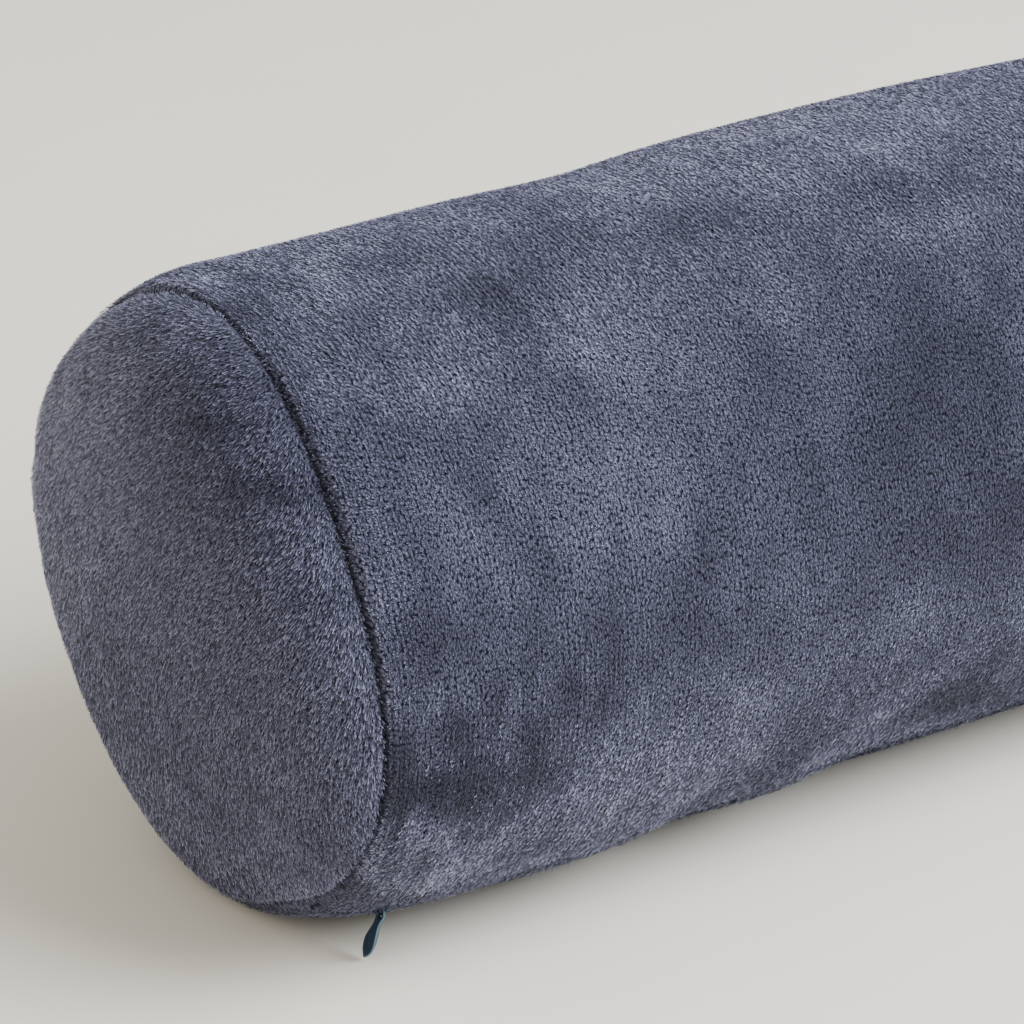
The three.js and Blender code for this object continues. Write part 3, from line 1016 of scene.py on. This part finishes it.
def zip_enamel(colours):
    """Stoved enamel on die-cast zinc: a smooth dark coat that mirrors the lights, with a painted highlight
    paler along its edges.
    """
    material, tree = new_material("stoved enamel")
    darker, paler = [tuple(share * part for part in colours.enamel) for share in ENAMEL_SHARES]
    flow = mottle(tree, ENAMEL_CELL, 2.0, ((0.35, darker), (0.7, paler)))
    edge = add_node(tree, "ShaderNodeAttribute", {"attribute_name": "edge"})
    # Painted highlight over the outermost share of the pull's section
    painted_highlight = remap(tree, (edge, "Fac"), 0.94, 1.0)
    skin = add_node(
        tree, "ShaderNodeMix", {"data_type": "RGBA"}, {"B": (*colours.enamel_edge_highlight, 1.0)},
        {"Factor": (painted_highlight, "Result"), "A": (flow, "Color")})
    values = {"Roughness": 0.32, "IOR": 1.5, "Specular IOR Level": 0.16}
    add_shader(tree, values, {"Base Color": (skin, "Result")})
    return material


def matt_paper(pale):
    """Matt paper for the floor: even and pale, with a faint broad mottle."""
    material, tree = new_material("matt paper")
    darker = tuple(PAPER_SHARE * part for part in pale)
    grain = mottle(tree, PAPER_CELL, 3.0, ((0.3, darker), (0.7, pale)))
    add_shader(tree, {"Roughness": 0.9, "Specular IOR Level": 0.2}, {"Base Color": (grain, "Color")})
    return material


def put_ground_shade(mesh, mood, from_seam, angle):
    """Shade a cover's ground cloth: painted shade under the pile, the mood of its nap with its painted light
    and shade, and the shadow in its seam; its middles plainly.
    """
    lit = np.exp(NAP_CONTRAST * mood) * seam_shadow(from_seam, angle)
    put_numbers(mesh, "shade", GROUND_PAINTED_SHADE * np.concatenate([lit.ravel(), (1, 1)]))


def sew_tube(sizes, cloth, pucker):
    """Sew the tube cover: a grid with drawn-in seams, closing groove and puckers, and a fan at each end."""
    depth = sizes.ground_depth / MM
    angle, ring = ring_angles(AROUND)[None, :], np.arange(AROUND)
    along = tube_stations(TUBE_ROWS)[:, None]
    from_seam = np.minimum(along, ROLL_LENGTH - along)
    lip = TUBE_LIP * (1 + LIP_VARIES * soft_noise(0 * angle, angle / 360, LIP_UNEVEN))
    tube = roll_surface(along, angle, depth + seam_dip(from_seam, angle, lip))
    out = -closing_groove(along, angle)[..., None]
    if pucker is not None:
        row = along / ROLL_LENGTH * (CLOTH_ROWS - 1)
        out = out + sample(pucker, row + 0 * angle, angle / 360 * CLOTH_AROUND + 0 * row)
    tube = tube + grid_normals(tube) * out
    tube[..., 2] = np.maximum(tube[..., 2], min(depth, FLAT_DEPTH))
    middles = np.stack([tube[0].mean(axis=0), tube[-1].mean(axis=0)])
    count = tube[..., 0].size
    ends = [fan(ring, count)[:, ::-1], fan(count - AROUND + ring, count + 1)]
    made = put_mesh("tube_cover", np.concatenate([tube.reshape(-1, 3), middles]),
                    [grid_quads(TUBE_ROWS, AROUND), *ends], cloth)
    put_ground_shade(made.data, tube_mood(along + 0 * angle, angle + 0 * along)[0], from_seam, angle)
    whole = np.linspace(0, 360, AROUND + 1)[None, :]
    put_flat_map(made.data, np.stack(np.broadcast_arrays(along, np.radians(whole) * RADIUS_MIDDLE), axis=-1))
    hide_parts("tube_panel")


def sew_end(name, seam, sizes, cloth, pucker):
    """Sew one end cover: rings from its middle to its seam, crowned and puckered, with a flat fan behind."""
    crown, depth = sizes.crown / MM, sizes.ground_depth / MM
    angle, ring = ring_angles(AROUND)[None, :], np.arange(AROUND)
    share = end_stations(END_ROWS)[:, None]
    from_seam = crown * crown_profile(share, angle)
    panel = end_surface(share, angle, seam, crown, depth + seam_dip(from_seam, angle, 0))
    if pucker is not None:
        row = np.interp(share, end_stations(CLOTH_END_ROWS), np.arange(CLOTH_END_ROWS))
        held = np.concatenate([pucker, np.zeros((1, CLOTH_AROUND, 1))])
        out = sample(held, row + 0 * angle, angle / 360 * CLOTH_AROUND + 0 * row)
        panel = panel - seam.side * grid_normals(panel) * out
    top = end_surface(np.zeros(1), np.zeros(1), seam, crown, depth)
    back = np.array([[seam.side * ROLL_LENGTH / 2, 0, SEAM_HEIGHT]])
    panel[-1, :, 0] = seam.side * (ROLL_LENGTH / 2 + PIECE_GAP / 2)
    count, order = panel[..., 0].size, -seam.side
    groups = (grid_quads(END_ROWS, AROUND), fan(ring, count)[:, ::-1], fan(count - AROUND + ring, count + 1))
    made = put_mesh("end_cover_" + name, np.concatenate([panel.reshape(-1, 3), top, back]),
                    [group[:, ::order] for group in groups], cloth)
    mood = end_mood(-seam.side * panel[..., 1], panel[..., 2] - SEAM_HEIGHT)[0]
    put_ground_shade(made.data, mood, from_seam, angle)
    way = np.radians(np.linspace(0, 360, AROUND + 1)[None, :] - END_NAP_ANGLE)
    reach = end_reach(panel)[:, None]
    put_flat_map(made.data, np.stack([reach * np.sin(way), reach * np.cos(way)], axis=-1), order)
    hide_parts("end_panel_" + name)


class PILLOW_OT_covers(bpy.types.Operator):
    """Sew and fill the tube cover and the two end covers."""

    bl_idname = "pillow.covers"
    bl_label = "Covers"

    def execute(self, context):
        sizes = context.scene.pillow_sizes
        cloth = plush_ground(context.scene.pillow_colours)
        tube_pucker, *end_puckers = puckers(sizes)
        sew_tube(sizes, cloth, tube_pucker)
        for (name, seam), pucker in zip(ENDS.items(), end_puckers):
            sew_end(name, seam, sizes, cloth, pucker)
        return {"FINISHED"}


def along_surface(way, normal):
    """Ways bent to lie along a surface."""
    return unit(way - normal * np.sum(way * normal, axis=1, keepdims=True))


def tuft_cells(columns, rows):
    """Column and row number of the cell of each tuft."""
    return [part.ravel() for part in np.meshgrid(columns, rows, indexing="ij")]


def blade_mesh(name, tufts, sizes, stretch, material, rng):
    """Joined blades of pile, a few to each tuft.

    A blade is one triangle: its wide end at the root or, for a brush-like tuft, at the tip. Its root lies in
    its tuft's cell, gathered towards the middle of the wale. It leans from the surface along the nap, spreads
    a little from its tuft's own way and is twisted about its length. It is as tall as the trimming leaves it,
    and a stretch makes it longer, thinner, more even and straighter. Its shade rises from root to tip, with
    painted shade darkening the root, and its place on the bake map is a small patch of its tuft's cell.
    """
    count = len(tufts.root) * BLADES_IN_TUFT

    def each(values):
        return np.repeat(values, BLADES_IN_TUFT, axis=0)

    normal, heading = each(tufts.normal), each(tufts.heading)
    across = np.cross(normal, heading)
    spread = rng.normal(0, BLADE_SPREAD / stretch, (count, 2)) * (1, BLADE_SPREAD_ALONG)
    lean = each(tufts.lean) + rng.normal(0, BLADE_LEAN_VARIES, count)
    lean = np.radians(np.clip(lean, *BLADE_LEAN_LIMITS))[:, None]
    lie = normal * np.cos(lean) + heading * np.sin(lean)
    way = unit(lie + across * spread[:, :1] + heading * spread[:, 1:])
    offset = rng.uniform(-0.5, 0.5, (count, 2)) * (sizes.tuft_pitch / MM, sizes.tuft_spacing / MM)
    aside = across * offset[:, :1] + heading * offset[:, 1:]
    aside[:, 0] *= 1 - each(tufts.gather)
    root = each(tufts.root) + aside
    stand = np.minimum(sizes.pile_height / np.cos(lean), sizes.pile_length) / MM
    length = stretch * each(tufts.tall)[:, None] * stand * rng.uniform(*BLADE_LENGTHS, (count, 1))
    flat = unit(np.cross(way, normal))
    twist = rng.uniform(-BLADE_TWIST, BLADE_TWIST, (count, 1))
    side = flat * np.cos(twist) + np.cross(way, flat) * np.sin(twist)
    half = side * rng.uniform(*BLADE_HALF_WIDTHS, (count, 1)) * sizes.blade_width / stretch / MM
    tip = root + way * length
    brush = rng.uniform(0, 1, (count, 1)) < BRUSH_SHARE
    wide, narrow = np.where(brush, tip, root), np.where(brush, root, tip)
    corners = np.stack([wide - half, wide + half, narrow], axis=1)
    facing = np.sum(np.cross(corners[:, 1] - corners[:, 0], corners[:, 2] - corners[:, 0]) * normal, axis=1)
    corners = np.where((facing < 0)[:, None, None], corners[:, (1, 0, 2)], corners)
    corners[..., 2] = np.maximum(corners[..., 2], BLADE_LOWEST)
    faces = [np.arange(count * 3).reshape(-1, 3)]
    made = put_mesh(name, corners.reshape(-1, 3), faces, material, False)
    fall = TIP_SHADE_FALL / stretch ** 0.5 * rng.uniform(0, 1, count) ** 2
    level = each(tufts.tone) * (TIP_SHADE_MOST - fall)
    # Painted shade: each blade darkens towards its root
    rise = np.where(brush, (1.0, 1.0, ROOT_PAINTED_SHADE), (ROOT_PAINTED_SHADE, ROOT_PAINTED_SHADE, 1.0))
    put_numbers(made.data, "shade", np.clip(MIDDLE_SHADE * level[:, None] * rise, 0, 1))
    number = np.tile(np.arange(BLADES_IN_TUFT), len(tufts.root))
    room = tufts.cell_size / (1, BLADES_IN_TUFT)
    cell = each(tufts.cell) + np.stack([0 * number, number], axis=-1) * room
    flat_map = made.data.uv_layers.new(name="OFBake")
    places = cell[:, None] + np.array(BAKE_CORNERS) * room
    flat_map.uv.foreach_set("vector", places.astype(np.float32).ravel())
    return made


class PILLOW_OT_tube_pile(bpy.types.Operator):
    """Grow the pile of the tube in four strips that run along it."""

    bl_idname = "pillow.tube_pile"
    bl_label = "Tube Pile"

    def execute(self, context):
        sizes = context.scene.pillow_sizes
        rng = np.random.default_rng(SEED)
        pile = bpy.data.materials.get("polyester plush pile") or plush_pile(context.scene.pillow_colours)
        points, normals = read_grid("tube_cover", TUBE_ROWS)
        stations = tube_stations(TUBE_ROWS)
        columns = round(ROLL_LENGTH * MM / sizes.tuft_pitch)
        rows = round(2 * np.pi * RADIUS_MIDDLE * MM / sizes.tuft_spacing)
        for number, strip in enumerate(np.array_split(np.arange(rows), TUBE_STRIPS)):
            column, row = tuft_cells(np.arange(columns), strip)
            count, odd = len(column), column % 2
            along = (column + 0.5 + rng.normal(0, WALE_JITTER, count)) * ROLL_LENGTH / columns
            angle = (row + 0.5 * odd + rng.normal(0, TUFT_JITTER, count)) * 360 / rows
            wander = soft_noise(np.clip(along / ROLL_LENGTH, 0, 1), angle / 360, WALE_WANDER)
            along = np.clip(along + WANDER_REACH * wander, 0, ROLL_LENGTH)
            place = np.interp(along, stations, np.arange(TUBE_ROWS)), angle / 360 * AROUND
            root, normal = sample(points, *place), unit(sample(normals, *place))
            mood, drift, fine = tube_mood(along, angle)
            turn, lean = tube_nap(angle)
            turn = np.radians(turn + TUBE_TURN_FINE * fine + TUBE_TURN_DRIFT * drift)
            circle = np.radians(angle)
            around = np.stack([0 * circle, -np.sin(circle), np.cos(circle)], axis=-1)
            way = around * np.cos(turn)[:, None] + np.array([1.0, 0, 0]) * np.sin(turn)[:, None]
            heading = along_surface(way, normal)
            from_zip = np.radians(turn_between(CLOSING_ANGLE, angle)) * RADIUS_ENDS
            clear = np.hypot(along - SLIDER_ALONG, from_zip)
            from_seam = np.minimum(along, ROLL_LENGTH - along)
            keep = (clear > SLIDER_CLEARING) & (from_seam > seam_bare(angle))
            tall = trimmed_share(from_seam, angle)
            lean = np.clip(lean + NAP_LEANS * mood, *TUBE_LEAN_LIMITS) * tall
            gather = WALE_GATHER + WALE_PATCH.tone * bell(along, angle, WALE_PATCH)
            crease = bell(along, angle, CREASE_PATCH)
            # Painted light and shade of ribs in the creased patch: even columns lighter, odd ones darker
            rib_light_and_shade = CREASE_RIB_LIGHT_AND_SHADE * crease * (1 - 2 * odd)
            # Random tone of the tufts, with painted shade darkening them on average, most in the creased
            # patch
            ruffle = rng.normal(RUFFLE_PAINTED_SHADE, 1, count) * (TUFT_RUFFLE + CREASE_RUFFLE * crease)
            tone = np.exp(NAP_CONTRAST * mood + rib_light_and_shade + seam_rim(from_seam, angle) + ruffle)
            size = np.array([1 / columns, 1 / len(strip)])
            cell = np.stack([column, row - strip[0]], axis=-1) * size
            kept = [part[keep] for part in (root, normal, heading, lean, tall, tone, gather, cell)]
            blade_mesh(f"tube_pile_{number + 1}", Tufts(*kept, size), sizes, 1.0, pile, rng)
        return {"FINISHED"}


class PILLOW_OT_end_pile(bpy.types.Operator):
    """Grow the pile of the two end panels."""

    bl_idname = "pillow.end_pile"
    bl_label = "End Pile"

    def execute(self, context):
        sizes = context.scene.pillow_sizes
        rng = np.random.default_rng(END_SEED)
        pile = bpy.data.materials.get("polyester plush pile") or plush_pile(context.scene.pillow_colours)
        for name, seam in ENDS.items():
            points, normals = [
                np.concatenate([np.broadcast_to(grid[0].mean(axis=0), (1, AROUND, 3)), grid])
                for grid in read_grid("end_cover_" + name, END_ROWS)]
            reach = np.concatenate([[0], end_reach(points[1:])])
            half = reach[-1]
            columns, rows = [round(2 * half * MM / step) for step in (sizes.tuft_pitch, sizes.tuft_spacing)]
            column, row = tuft_cells(np.arange(columns), np.arange(rows))
            count, odd = len(column), column % 2
            size = np.array([1 / columns, 1 / rows])
            cell = np.stack([column, row], axis=-1) * size
            across = ((column + 0.5 + rng.normal(0, END_JITTER, count)) / columns - 0.5) * 2 * half
            up = ((row + 0.5 + 0.5 * odd + rng.normal(0, TUFT_JITTER, count)) / rows - 0.5) * 2 * half
            out = np.hypot(across, up)
            angle = np.degrees(np.arctan2(up, across)) + END_NAP_ANGLE - END_ROWS_TURN
            keep = out < half - seam_bare(angle)
            angle, out, cell = angle[keep], out[keep], cell[keep]
            place = np.interp(out, reach, np.arange(END_ROWS + 1)), (angle % 360) / 360 * AROUND
            root, normal = sample(points, *place), unit(sample(normals, *place))
            mood, drift, fine = end_mood(-seam.side * root[:, 1], root[:, 2] - SEAM_HEIGHT)
            sway = END_NAP_SWAY * np.tanh((root[:, 2] - SEAM_HEIGHT) / END_NAP_REACH)
            turn = np.radians(END_NAP_ANGLE + sway + END_TURN_DRIFT * drift + END_TURN_FINE * fine)
            heading = along_surface(np.stack([0 * turn, np.cos(turn), np.sin(turn)], axis=-1), normal)
            tone = END_TONE * np.exp(NAP_CONTRAST * mood + rng.normal(0, TUFT_RUFFLE, len(out)))
            tall = trimmed_share(half - out, angle)
            lean = np.clip(END_NAP_LEAN + NAP_LEANS * mood, *END_LEAN_LIMITS) * tall
            tufts = Tufts(root, normal, heading, lean, tall, tone, 0 * out, cell, size)
            blade_mesh("end_pile_" + name, tufts, sizes, END_STRETCH, pile, rng)
        return {"FINISHED"}


class PILLOW_OT_zip(bpy.types.Operator):
    """Enamel the zip slider and hang its pull."""

    bl_idname = "pillow.zip"
    bl_label = "Zip"

    def execute(self, context):
        enamel = zip_enamel(context.scene.pillow_colours)
        slider = bpy.data.objects["zip_slider"]
        slider.data.materials.clear()
        slider.data.materials.append(enamel)
        outline = np.array(PULL_OUTLINE)[:, None, ::-1] * (1, -PULL_LENGTH)
        step = np.linspace(0, len(PULL_OUTLINE) - 1, PULL_STEPS)
        edge = np.maximum(sample(outline, step, 0 * step), (0, -PULL_LENGTH))
        edge = np.concatenate([edge, edge[-2:0:-1] * (-1, 1)]) + (0, PULL_EYE_FROM_END)
        eye = unit(edge) * PULL_EYE_RADIUS
        section = np.array(PULL_SECTION)
        section = np.concatenate([section, section[-2:0:-1] * (1, -1)])
        flat = eye[:, None] + (edge - eye)[:, None] * section[None, :, :1]
        lift = np.broadcast_to(section[None, :, 1:] * PULL_HALF_THICKNESS, (*flat.shape[:2], 1))
        plate = np.concatenate([lift, flat], axis=-1)
        turn = np.radians(CLOSING_ANGLE)
        skin = roll_surface(np.array([SLIDER_ALONG]), np.array([CLOSING_ANGLE]), 0.0)[0]
        hook = skin + BAIL_BAND_LEVEL * np.array([0, np.cos(turn), np.sin(turn)])
        reach, drop = PULL_LENGTH - PULL_EYE_FROM_END, hook[2] - PULL_TIP_HEIGHT
        aside = np.sqrt(reach ** 2 - drop ** 2)
        lean = np.radians(PULL_HEADING)
        hang = unit(np.array([aside * np.cos(lean), aside * np.sin(lean), -drop]))
        axis = np.cross((0, 0, -1), hang)
        cross = np.array([[0, -axis[2], axis[1]], [axis[2], 0, -axis[0]], [-axis[1], axis[0], 0]])
        swing = np.eye(3) + cross + cross @ cross / (1 - hang[2])
        points = plate @ swing.T + hook
        rows, columns = points.shape[:2]
        quads = grid_quads(rows + 1, columns) % (rows * columns)
        made = put_mesh("pull_plate", points.reshape(-1, 3), [quads], enamel)
        # Share of the way out to the pull's edge, where the enamel lays its painted highlight
        put_numbers(made.data, "edge", np.tile(section[:, 0], rows))
        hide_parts("zip_pull")
        return {"FINISHED"}


class PILLOW_OT_stage(bpy.types.Operator):
    """Lay the floor and set the light and the camera."""

    bl_idname = "pillow.stage"
    bl_label = "Stage"

    def execute(self, context):
        scene, stage = context.scene, context.scene.pillow_stage
        half = stage.floor_size / 2
        mesh = bpy.data.meshes.new("floor")
        corners = [(-half, -half, 0), (half, -half, 0), (half, half, 0), (-half, half, 0)]
        mesh.from_pydata(corners, [], [(0, 1, 2, 3)])
        mesh.materials.append(matt_paper(tuple(stage.floor)))
        floor = bpy.data.objects.new("floor", mesh)
        scene.collection.objects.link(floor)
        world = bpy.data.worlds.new("soft sky")
        world.use_nodes = True
        sky = world.node_tree.nodes["Background"]
        sky.inputs["Color"].default_value = SKY_TINT
        sky.inputs["Strength"].default_value = stage.sky
        scene.world = world
        powers = {"key": stage.key_power, "fill": stage.fill_power}
        for name, light in LIGHTS.items():
            lamp = bpy.data.lights.new(name, "AREA")
            lamp.energy = powers[name]
            lamp.color = light.tint
            lamp.size = light.width
            made = bpy.data.objects.new(name, lamp)
            made.location = light.place
            made.rotation_euler = (-made.location).to_track_quat("-Z", "Y").to_euler()
            scene.collection.objects.link(made)
        view = bpy.data.cameras.new("camera")
        view.lens = stage.lens
        view.sensor_width = SENSOR_WIDTH
        view.clip_start = CAMERA_CLIP
        camera = bpy.data.objects.new("camera", view)
        camera.location = CAMERA_PLACE
        camera.rotation_euler = np.radians((90 - CAMERA_ELEVATION, 0, CAMERA_AZIMUTH))
        scene.collection.objects.link(camera)
        scene.camera = camera
        return {"FINISHED"}


class PILLOW_PT_steps(bpy.types.Panel):
    """Lists the steps that dress the pillow."""

    bl_label = "Neck Roll Pillow"
    bl_space_type = "VIEW_3D"
    bl_region_type = "UI"
    bl_category = "Pillow"

    def draw(self, context):
        for step in STEPS:
            self.layout.operator(step.bl_idname)


STEPS = (PILLOW_OT_covers, PILLOW_OT_tube_pile, PILLOW_OT_end_pile, PILLOW_OT_zip, PILLOW_OT_stage)
SETTINGS = {"pillow_sizes": PillowSizes, "pillow_colours": PillowColours, "pillow_stage": PillowStage}
CLASSES = (*SETTINGS.values(), *STEPS, PILLOW_PT_steps)


def register():
    """Register the classes and hang their settings on the scene."""
    for made in CLASSES:
        bpy.utils.register_class(made)
    for name, group in SETTINGS.items():
        setattr(bpy.types.Scene, name, PointerProperty(type=group))


def unregister():
    """Take the settings and classes away again."""
    for name in SETTINGS:
        delattr(bpy.types.Scene, name)
    for made in reversed(CLASSES):
        bpy.utils.unregister_class(made)


def main():
    """Dress the pillow step by step."""
    register()
    bpy.ops.pillow.covers()
    bpy.ops.pillow.tube_pile()
    bpy.ops.pillow.end_pile()
    bpy.ops.pillow.zip()
    bpy.ops.pillow.stage()


if __name__ == "__main__":
    main()
